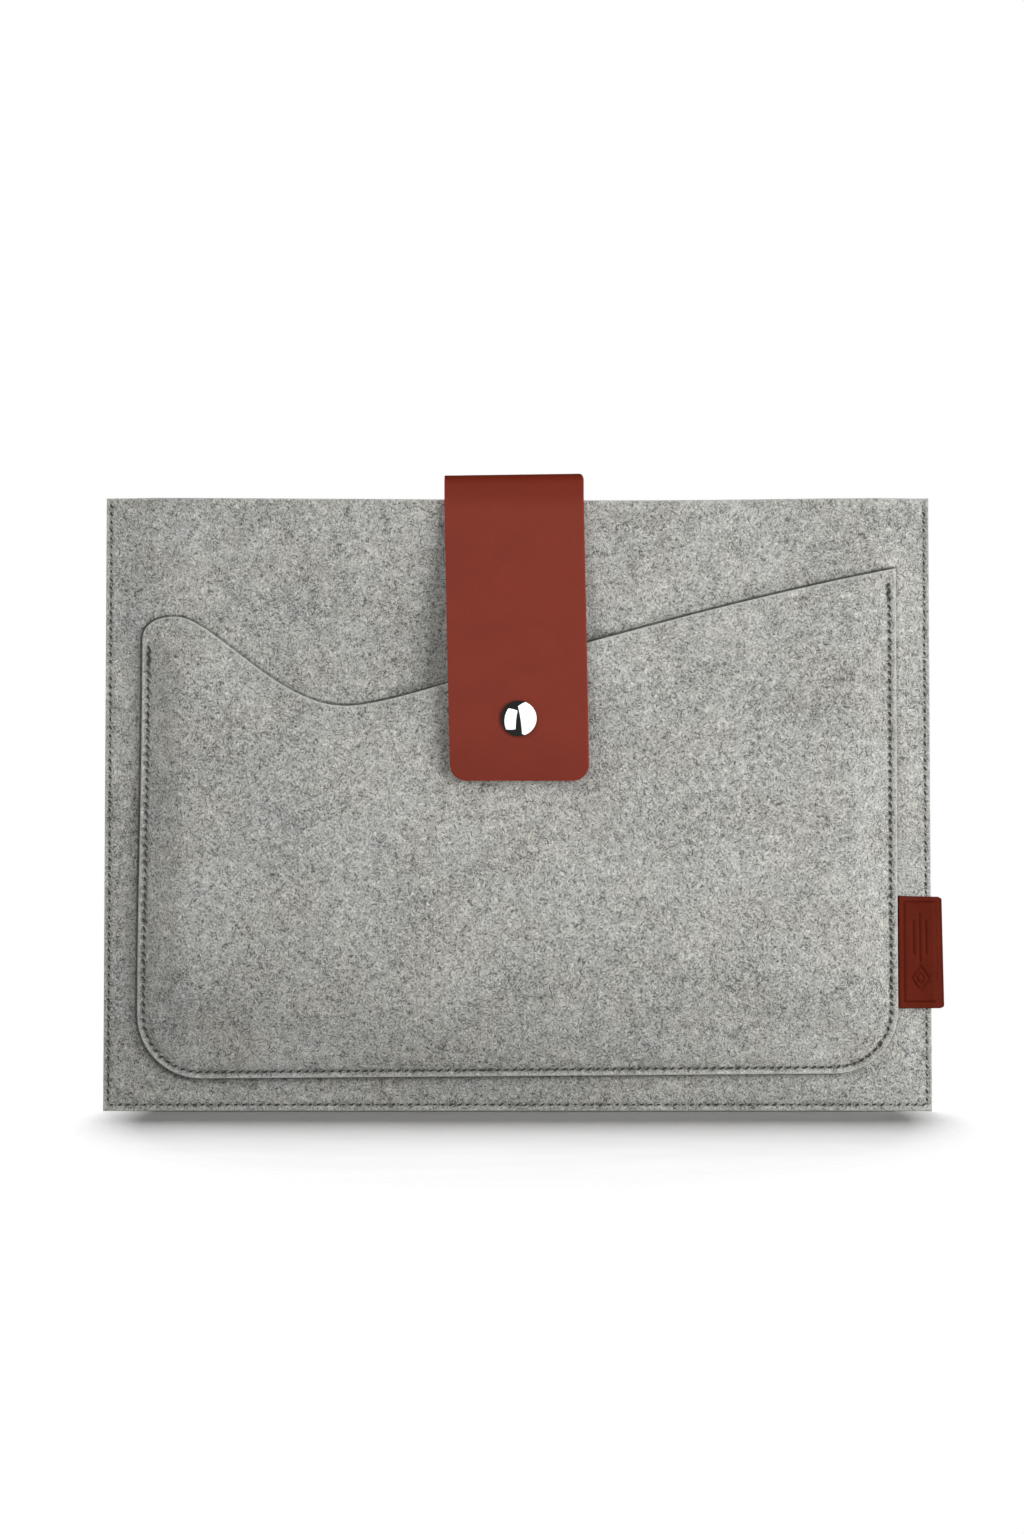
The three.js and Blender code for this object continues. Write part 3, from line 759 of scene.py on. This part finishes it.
def body_outline():
    """A rectangle whose mouth sags a little to the right of the strap."""
    across = np.linspace(1, 0, 40)
    sag = MOUTH_SAG * np.sin(math.pi * across ** 1.35) ** 2
    mouth = np.column_stack([(2 * across - 1) * HALF_WIDTH, MOUTH_Z - sag])
    return np.vstack([[(-HALF_WIDTH, 0), (HALF_WIDTH, 0)], mouth]) + (MIDDLE_X, 0)


def pocket_outline():
    mouth = mouth_points(16)[::-1]
    heights = np.linspace(mouth[-1, 1], POCKET_BASE[0] + POCKET_CORNER, 12)
    left = [(mouth[-1, 0], z) for z in heights[1:-1]]
    return leaned(np.vstack([
        pocket_corner(-1, 0, 180, 270),
        pocket_corner(1, 0, 270, 360),
        mouth,
        left,
    ]))


def between(outer, inner):
    """Places flat points between two faces, outer at depth 0 and inner at depth 1."""
    def place(flat, depth):
        x, z = flat.T
        start = outer(flat)
        return np.column_stack([x, start + (inner(x, z) - start) * depth, z])
    return place


def seam_shade(flat, depth, seam):
    """Painted shade in the valley of a seam, darkest at the needle holes."""
    distance, along = closest(flat, seam)
    hole = np.abs(np.cos(math.pi * along / STITCH_PITCH)) ** 6
    return (0.1 + 0.62 * hole) * np.exp(-(distance / (0.7 * MM)) ** 2) * (depth < 0.5)


def pocket_edge_shade(flat, edge):
    """Painted shade in the gap beside the pocket's edge, darkest at the mouth and the left, away from
    the light.
    """
    distance, _ = closest(flat, edge)
    shift = 0.2 * MM
    away = (closest(flat + np.array([-0.7, 0.7]) * shift, edge)[0] - distance) / shift
    return (0.45 + 0.4 * away) * (1 - smooth((distance - 0.9 * MM) / (0.7 * MM)))


def add_felt(name, node, outline, outer, inner, flat, rests_on, area=None, **options):
    """A felt panel between two faces. flat, the width and height of its sheet, is not used."""
    piece = slab(name, outline, between(outer, inner), FELT, FELT_LOOK,
                 FELT_STEP, FELT_SPACING, FELT_RINGS, **options)
    declare(piece, "sleeve", node)


def sewn_shade(seam):
    """The shade of a face with one seam and nothing else on it."""
    return lambda flat, depth: seam_shade(flat, depth, seam)


def add_front_panel():
    seam, pocket = body_seam(), pocket_outline()

    def outer(flat):
        return front_outer(*flat.T) + seam_pull(flat, seam)

    # painted shade beside the pocket's edge and along the seam
    def shade(flat, depth):
        gap = pocket_edge_shade(flat, closed_path(pocket)) * (depth < 0.5)
        return np.maximum(gap, seam_shade(flat, depth, seam))

    add_felt("felt_front", "front_panel", body_outline(), outer, front_inner, BODY_SHEET,
             ["felt_back"], seed=11, marks={"shade": shade}, track=pocket)


def add_back_panel():
    seam = body_seam()

    def outer(flat):
        return back_outer(*flat.T) - seam_pull(flat, seam)

    add_felt("felt_back", "back_panel", body_outline(), outer, back_inner, BODY_SHEET,
             ["felt_front"], seed=12, marks={"shade": sewn_shade(seam)})


def polygon_area(outline):
    x, z = outline.T
    return 0.5 * abs(float(np.dot(x, np.roll(z, -1)) - np.dot(z, np.roll(x, -1))))


def add_pocket():
    seam, outline = pocket_seam(), pocket_outline()
    snap = np.array([SNAP.x, SNAP.z])

    def seat(flat):
        return SNAP_SEAT * (1 - smooth((np.linalg.norm(flat - snap, axis=1) - 4.9 * MM) / (2.5 * MM)))

    def pressed(flat):
        """The sewing presses the felt thinner towards its edge."""
        distance, _ = closest(flat, seam)
        return 0.9 * MM * np.exp(-(distance / (3.2 * MM)) ** 2)

    def outer(flat):
        pull = seam_pull(flat, seam, 0.4 * MM, 1.0 * MM)
        return pocket_outer(*flat.T) + pull + pressed(flat) + seat(flat)

    def rim(flat, depth):
        """A painted highlight along the pocket's cut edge."""
        distance, _ = closest(flat, closed_path(outline))
        return np.exp(-(distance / (0.8 * MM)) ** 2)

    def inner(x, z):
        return pocket_inner(x, z) - seat(np.column_stack([x, z]))

    height = outline[:, 1].max() - outline[:, 1].min()
    add_felt("felt_pocket", "pocket_panel", outline, outer, inner, (2 * POCKET_HALF, height),
             ["felt_front"], polygon_area(outline), bevel=0.6 * MM, holes=[(snap, 1.8 * MM)],
             seed=13, marks={"shade": sewn_shade(seam), "rim": rim})


# ---- strap ----

LEG_Y = leg_high.y - LEATHER / 2
FLAP_Y = flap_low.y + LEATHER / 2
FOLD_Z = MOUTH_Z + CROWN_RISE - FOLD_TURN
BACK_FOLD = (LEG_Y - FOLD_TURN, FOLD_Z)
FRONT_FOLD = (front_low.y - STRAP_CLEARANCE - LEATHER / 2 + FOLD_TURN, FOLD_Z)
CROWN_MIDDLE = ((BACK_FOLD[0] + FRONT_FOLD[0]) / 2, MOUTH_Z + CROWN_RISE)
STRAP_HALF = (leg_high.x - leg_low.x) / 2 + STRAP_SPREAD


def rear_path():
    """The middle of the leather in (y, z), from the sewn end up to the middle of the crown."""
    return np.vstack([[(LEG_Y, leg_low.z)], arc(BACK_FOLD, FOLD_TURN, 0, 90, 40), [CROWN_MIDDLE]])


def front_path():
    """From the middle of the crown down to the free tip."""
    above, below = SNAP.z + 7 * MM, SNAP.z - 8 * MM
    level = [(FLAP_Y + 0.9 * MM, above + 11 * MM), (FLAP_Y, above + 4.5 * MM), (FLAP_Y, above)]
    tip = [(FLAP_Y, below), (FLAP_Y, below - 7 * MM), (FLAP_Y + TIP_BEND, flap_low.z - TIP_DROP)]
    return np.vstack([
        [CROWN_MIDDLE], arc(FRONT_FOLD, FOLD_TURN, 90, 172, 40), bezier(level, 10), bezier(tip, 14)])


def strap_middle(z):
    return STRAP_X + STRAP_LEAN * np.clip((MOUTH_Z - z) / (MOUTH_Z - flap_low.z), 0, 1)


def swept(path, relief, lean):
    """Places flat (across, along) points on leather that follows a (y, z) path."""
    points, lengths, heading = followed(path, 0.5 * MM, 7)

    def place(flat, depth):
        across, along = flat.T
        y, z = values_at(along, lengths, points)
        dy, dz = values_at(along, lengths, heading)
        height = LEATHER * (0.5 - depth) - relief(flat) * (1 - depth)
        x = (strap_middle(z) if lean else STRAP_X) + across
        rise = (CROWN_TILT * across + CROWN_LIFT) * smooth((z - MOUTH_Z) / CROWN_RISE)
        return np.column_stack([x, y + dz * height, z - dy * height + rise])
    return place, lengths[-1]


def crown_shading(distance):
    """How much painted shade the leather has over the crown, where it curves away from the light, at a
    distance from the middle of the crown.
    """
    return 1 - smooth((distance - 14 * MM) / (10 * MM))


def crown_edge(distance):
    """How far the right edge stands from the strap's middle, at a distance from the crown's."""
    return STRAP_HALF - CROWN_NOTCH * max(1 - distance / NOTCH_REACH, 0) ** 1.5


def add_leather(name, outline, place, crown_shade, **options):
    """One half of the strap, whose painted shade over the crown is given as a number at each place."""
    piece = slab(name, outline, place, LEATHER, STRAP_LOOK, 0.9 * MM, 1.6 * MM,
                 [0.4 * MM, 1.0 * MM, 1.8 * MM], bevel=0.35 * MM, marks={"crown_shade": crown_shade}, **options)
    return piece


def add_strap():
    notch = np.linspace(0, NOTCH_REACH, 12)
    seam = strap_seam() - (STRAP_X, leg_low.z)

    def sewn(flat):
        return seam_pull(flat, seam, 0.3 * MM, 0.8 * MM)

    rear_place, rear_length = swept(rear_path(), sewn, False)
    right = [(crown_edge(d), rear_length - d) for d in notch[::-1]]
    rear = np.array([(-STRAP_HALF, 0), (STRAP_HALF, 0), *right, (-STRAP_HALF, rear_length)])
    piece = add_leather("leather_strap_rear", rear, rear_place,
                        lambda flat, depth: crown_shading(rear_length - flat[:, 1]), seed=21)
    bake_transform(piece)
    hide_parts("strap_back_leg", "strap_crown")

    path = front_path()
    above_snap = np.vstack([path[path[:, 1] > SNAP.z], [(FLAP_Y, SNAP.z)]])
    snap = np.array([SNAP.x - float(strap_middle(SNAP.z)), run_lengths(above_snap)[-1]])

    def pressed(flat):
        """The cap's rim sinks into the leather."""
        radius = np.linalg.norm(flat - snap, axis=1)
        return 0.22 * MM * np.exp(-((radius - 7.4 * MM) / (1.3 * MM)) ** 2)

    front_place, front_length = swept(path, pressed, True)
    corner = STRAP_TIP_CORNER
    right = [(crown_edge(d), d) for d in notch]
    beside = STRAP_HALF - STRAP_SPREAD - corner
    tip_right = arc((beside, front_length - corner), corner, 0, 90, 10)
    tip_left = arc((-beside, front_length - corner), corner, 90, 180, 10)
    front = np.array([(-STRAP_HALF, 0), *right, *tip_right, *tip_left])
    piece = add_leather("leather_strap_flap", front, front_place,
                        lambda flat, depth: crown_shading(flat[:, 1]), holes=[(snap, 1.7 * MM)], seed=22)
    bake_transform(piece)
    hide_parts("strap_crown", "strap_flap")


# ---- press stud ----

def dome(radius, rise, y, steps):
    """A dome's profile from its rim to the axis, standing out towards -Y."""
    ball = (radius ** 2 + rise ** 2) / (2 * rise)
    y += ball - rise
    return [(r, y - math.sqrt(ball ** 2 - r ** 2)) for r in np.linspace(radius, 0, steps)]


def add_nickel(name, profile, node, body):
    """A turned part of nickel-plated metal."""
    declare(turned(name, profile, NICKEL), body, node)


def add_cap():
    radius, wall, rim = (cap_high.x - cap_low.x) / 2, 0.6 * MM, 0.6 * MM
    base = cap_high.y
    rise = base - rim - cap_low.y
    outside = dome(radius - 0.15 * MM, rise, base - rim, 28)
    inside_dome = dome(radius - wall, rise - wall, base - rim, 16)[::-1]
    edge = radius + 0.02 * MM
    roll = bezier([(radius - 0.3 * MM, base), (edge, base), (edge, base - rim)], 6)
    profile = [*inside_dome, (radius - wall, base), *roll, *outside]
    declare(turned("chrome_cap", profile, CHROME), "flap", "snap_cap_shell")


def add_cap_post():
    low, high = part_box("snap_cap_post")
    disc, barrel = (high.x - low.x) / 2, 1.4 * MM
    top, bottom = low.y, low.y + 0.5 * MM
    profile = [(0, top), (disc, top), (disc, bottom), (barrel, bottom), (barrel, high.y),
               (0, high.y)]
    add_nickel("cap_post", rounded(profile, 0.15 * MM), "snap_cap_post", "flap")


def add_socket():
    low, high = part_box("snap_socket")
    radius, bore, groove, hole = (high.x - low.x) / 2, 3.6 * MM, 4.75 * MM, 1.7 * MM
    base, groove_low, groove_high = (low.y + depth * MM for depth in (0.7, 1.4, 2.6))
    profile = [(hole, low.y), (radius, low.y), (radius, high.y), (bore, high.y), (bore, groove_high),
               (groove, groove_high), (groove, groove_low), (bore, groove_low), (bore, base),
               (hole, base)]
    add_nickel("press_socket", rounded(profile, 0.3 * MM, closed=True), "snap_socket", "flap")


def add_ring_spring():
    """An open ring of wire in the socket's groove."""
    low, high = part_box("socket_ring_spring")
    y, wire, radius, opening = (low.y + high.y) / 2, 0.3 * MM, 4.15 * MM, math.pi / 3
    sides, turns = 12, np.linspace(opening / 2, 2 * math.pi - opening / 2, 64)
    section = arc((radius, y), wire, 0, 360, sides)[:-1]
    vertices = [(SNAP.x + r * math.cos(turn), side, SNAP.z + r * math.sin(turn))
                for turn in turns for r, side in section]
    piece = add_object("ring_spring", vertices, tube_faces(0, len(turns), sides), SPRING_WIRE)
    declare(piece, "flap", "socket_ring_spring")


def add_stud():
    """The stud on the pocket, and the rivet that holds it from inside."""
    low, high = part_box("snap_stud")
    flange, neck, head, bore = (high.x - low.x) / 2, 2.6 * MM, 3.1 * MM, 1.8 * MM
    rim = high.y - 0.7 * MM
    profile = [(bore, high.y), (flange, high.y), (flange, rim), (neck, rim),
               (neck, low.y + 1.55 * MM), (head, low.y + 1.15 * MM), (head, low.y + 0.45 * MM),
               (neck, low.y), (bore, low.y)]
    add_nickel("press_stud", rounded(profile, 0.25 * MM, closed=True), "snap_stud", "sleeve")
    low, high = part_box("stud_post")
    flange, barrel, bore = (high.x - low.x) / 2, 1.5 * MM, 0.8 * MM
    rim = high.y - 0.6 * MM
    profile = [(bore, high.y), (flange, high.y), (flange, rim), (barrel, rim), (barrel, low.y),
               (bore, low.y)]
    add_nickel("stud_rivet", rounded(profile, 0.2 * MM, closed=True), "stud_post", "sleeve")


# ---- side label ----

def label_path():
    """The label's inner face in (x, y): the front leaf, round the sleeve's edge, the back leaf."""
    edge = MIDDLE_X + HALF_WIDTH
    x = np.linspace(label_low.x - LABEL_REACH, edge, 6)
    z = np.full_like(x, label_low.z)
    seam_y = (front_high.y + back_low.y) / 2
    off = FELT + LABEL_CLEARANCE
    radius = seam_y - (front_high.y - FELT) + LABEL_CLEARANCE
    front = np.column_stack([x, front_high.y - off - FRONT_BOW * body_bow(x, z, FRONT_RISE)])
    back = np.column_stack([x, back_low.y + off + BACK_BOW * body_bow(x, z, BODY_SLOPE)])
    return np.vstack([front[:-1], arc((edge, seam_y), radius, -90, 90, 24), back[-2::-1]])


DEBOSS_LINE = 0.42 * MM  # half the width of a pressed line
DEBOSS_DEPTH = 0.6 * MM


def deboss(flat, middle):
    """A plain border, a rhombus and three bars, pressed into the front leaf."""
    across, up = flat[:, 0] - middle[0], flat[:, 1] - middle[1]

    def line(distance):
        return np.exp(-(distance / DEBOSS_LINE) ** 2)

    border = line(np.maximum(np.abs(across) - 6.6 * MM, np.abs(up) - 21 * MM))
    diamond = np.abs(across) / (3.6 * MM) + np.abs(up + 11 * MM) / (5.2 * MM)
    marks = [border, line((diamond - 1) * 2.8 * MM), line((diamond - 0.45) * 2.8 * MM)]
    for offset, length in ((-2.6, 7.0), (0.0, 10.0), (2.6, 7.0)):
        beyond = np.maximum(np.abs(up - 6 * MM) - length * MM, 0)
        marks.append(line(np.hypot(across - offset * MM, beyond)))
    return DEBOSS_DEPTH * np.max(marks, axis=0)


def add_label():
    points, lengths, heading = followed(label_path(), 0.4 * MM, 5)
    middle = (9 * MM, (label_low.z + label_high.z) / 2)  # of the front leaf

    def place(flat, depth):
        along, z = flat.T
        x, y = values_at(along, lengths, points)
        dx, dy = values_at(along, lengths, heading)
        height = (LABEL_THICKNESS - deboss(flat, middle)) * (1 - depth)
        flare = LABEL_FLARE * (label_high.z - z) / (label_high.z - label_low.z)
        x = x + flare * smooth((x - label_low.x) / (label_high.x - label_low.x))
        return np.column_stack([x + dy * height, y - dx * height, z])

    total, low, high = lengths[-1], label_low.z, label_high.z
    fold, corner, cut, drop = total / 2, 4 * MM, 1.3 * MM, 0.4 * LABEL_DROP
    outline = np.array([
        (0, low), (fold - corner, low), (fold, low + cut), (fold + corner, low), (total, low),
        (total, high), (fold + corner, high - drop), (fold, high - cut - drop),
        (fold - corner, high - drop), (0, high)])
    piece = slab("leather_label", outline, place, LABEL_THICKNESS, LABEL_LOOK, 0.5 * MM, 0.45 * MM,
                 [0.3 * MM], bevel=0.25 * MM, seed=31)
    declare(piece, "sleeve", "side_label")


# ---- seams in place ----

def add_seams():
    body, pocket, strap = body_seam(), pocket_seam(), strap_seam()
    sew("stitches_body_front", body, lambda x, z: front_outer(x, z) + STITCH_SUNK, -1,
        "body_seam_needle_thread", 41)
    sew("stitches_body_back", body, lambda x, z: back_outer(x, z) - STITCH_SUNK, 1,
        "body_seam_bobbin_thread", 42)
    sew("stitches_pocket_front", pocket, lambda x, z: pocket_outer(x, z) + STITCH_SUNK, -1,
        "pocket_seam_needle_thread", 43, back_tack=BACK_TACK)
    sew("stitches_pocket_inside", pocket, front_inner, 1, "pocket_seam_bobbin_thread", 44)
    sew("stitches_strap_back", strap, lambda x, z: leg_high.y - 0.25 * MM, 1,
        "strap_seam_needle_thread", 45, slant=8)
    sew("stitches_strap_inside", strap, back_inner, -1, "strap_seam_bobbin_thread", 46, slant=8)


# ---- stage ----

CAMERA_DISTANCE = 1.5  # from the front face
CAMERA_HEIGHT = 0.067
CAMERA_AIM = Vector((-0.0048, 0, 0.1454))
LENS = 83.2
FLOOR_REACH = (0.1805, 0.5, 1)  # half the floor's width and depth, where it has faded out
FLOOR_FADE = 0.86  # the share of that reach where it starts to fade
AMBIENT = 0.19  # the studio's brightness on the object
REFLECTED = 0.025  # and in its reflections
LIGHT_AIM = (0, 0, 0.13)


def add_camera():
    data = bpy.data.cameras.new("camera")
    data.lens, data.sensor_width = LENS, 36
    camera = bpy.data.objects.new("camera", data)
    camera.location = (CAMERA_AIM.x, front_low.y - CAMERA_DISTANCE, CAMERA_HEIGHT)
    camera.rotation_euler = (CAMERA_AIM - camera.location).to_track_quat("-Z", "Y").to_euler()
    bpy.context.scene.collection.objects.link(camera)
    bpy.context.scene.camera = camera


def add_softbox(name, place, width, height, power, aim=LIGHT_AIM, roll=0.0):
    """A rectangle of light that the camera and the reflections don't see."""
    data = bpy.data.lights.new(name, "AREA")
    data.shape = "RECTANGLE"
    data.size, data.size_y = width, height
    data.energy = power
    light = bpy.data.objects.new(name, data)
    light.location = place
    aimed = (Vector(aim) - light.location).to_track_quat("-Z", "Y")
    light.rotation_euler = (aimed @ Quaternion((0, 0, 1), math.radians(roll))).to_euler()
    light.visible_camera = False
    light.visible_glossy = False
    bpy.context.scene.collection.objects.link(light)
    return light


def add_reflector(name, turn, rise, width, height, brightness, roll=0.0):
    """A bright card, 1 m from the press stud, that shows in reflections only."""
    turn, rise = math.radians(turn), math.radians(rise)
    level = math.cos(rise)
    direction = Vector((math.sin(turn) * level, -math.cos(turn) * level, math.sin(rise)))
    power = brightness * math.pi * width * height
    card = add_softbox(name, SNAP + direction, width, height, power, SNAP, roll)
    card.visible_glossy = True
    card.visible_diffuse = False


def light_only(light, thing, state):
    """Limits a light to one thing, or keeps it off that thing."""
    linked = bpy.data.collections.new(light.name + "_receivers")
    light.light_linking.receiver_collection = linked
    linked.objects.link(thing)
    linked.collection_objects[0].light_linking.link_state = state


def add_floor():
    """A pale disc that fades out into the white backdrop, sooner to the sides than to the front."""
    shader = Shader("pale_floor")
    radius = 0.6
    shares = shader.add("VectorMath", {0: shader.where, 1: FLOOR_REACH}, operation="DIVIDE").outputs[0]
    far = shader.add("VectorMath", {0: shares}, operation="LENGTH").outputs["Value"]
    fade = shader.span(far, FLOOR_FADE, 1.0)
    mottle = shader.span(shader.noise(0.05, 2), 0.3, 0.7)
    grey = shader.mix(mottle, srgb(238, 238, 238), srgb(242, 242, 242))
    paper = shader.add("BsdfDiffuse", {"Color": grey})
    clear = shader.add("BsdfTransparent")
    blend = shader.add("MixShader", {0: fade, 1: paper.outputs[0], 2: clear.outputs[0]})
    shader.add("OutputMaterial", {"Surface": blend.outputs[0]})
    ring = [(x, y, 0) for x, y in arc((0, 0), radius, 0, 360, 96)[:-1]]
    floor = add_object("floor", ring, [list(range(len(ring)))], shader.material)
    floor.location.z = -0.2 * MM  # just below the object
    floor.visible_glossy = False
    return floor


def add_world():
    """White behind the object, soft grey light all round it, and darker still in its reflections."""
    world = bpy.data.worlds.new("studio")
    nodes = Nodes(world)
    ray = nodes.add("LightPath").outputs
    around = nodes.add("Mix", {0: ray["Is Glossy Ray"], 2: AMBIENT, 3: REFLECTED}).outputs[0]
    strength = nodes.add("Mix", {0: ray["Is Camera Ray"], 2: around, 3: 1.0}).outputs[0]
    background = nodes.add("Background", {"Color": (1, 1, 1, 1), "Strength": strength})
    nodes.add("OutputWorld", {"Surface": background.outputs[0]})
    bpy.context.scene.world = world


def add_lights(floor):
    """A key at the right, a weaker fill at the upper left, one behind, and one for the floor alone."""
    for light in (
        add_softbox("softbox_key", (0.84, -0.71, 0.17), 0.7, 0.9, 10.1),
        add_softbox("softbox_fill", (-0.52, -0.70, 0.96), 0.7, 0.9, 4.8),
        add_softbox("softbox_behind", (-0.25, 1.2, 0.55), 1.2, 0.8, 11),
    ):
        light_only(light, floor, "EXCLUDE")
    above = add_softbox("softbox_floor", (0, 1.12, 1.42), 0.8, 1.62, 76, aim=(0, -0.1, 0))
    light_only(above, floor, "INCLUDE")
    add_reflector("card_right", 47, 2, 1.72, 4.5, 1.5, roll=10)
    add_reflector("card_left", -37, -1, 0.93, 1.75, 1.5, roll=-8)


def main():
    add_camera()
    add_front_panel()
    add_back_panel()
    add_pocket()
    add_strap()
    add_cap()
    add_cap_post()
    add_socket()
    add_ring_spring()
    add_stud()
    add_label()
    add_seams()
    bpy.context.scene.view_settings.view_transform = "Standard"
    add_world()
    add_lights(add_floor())


main()
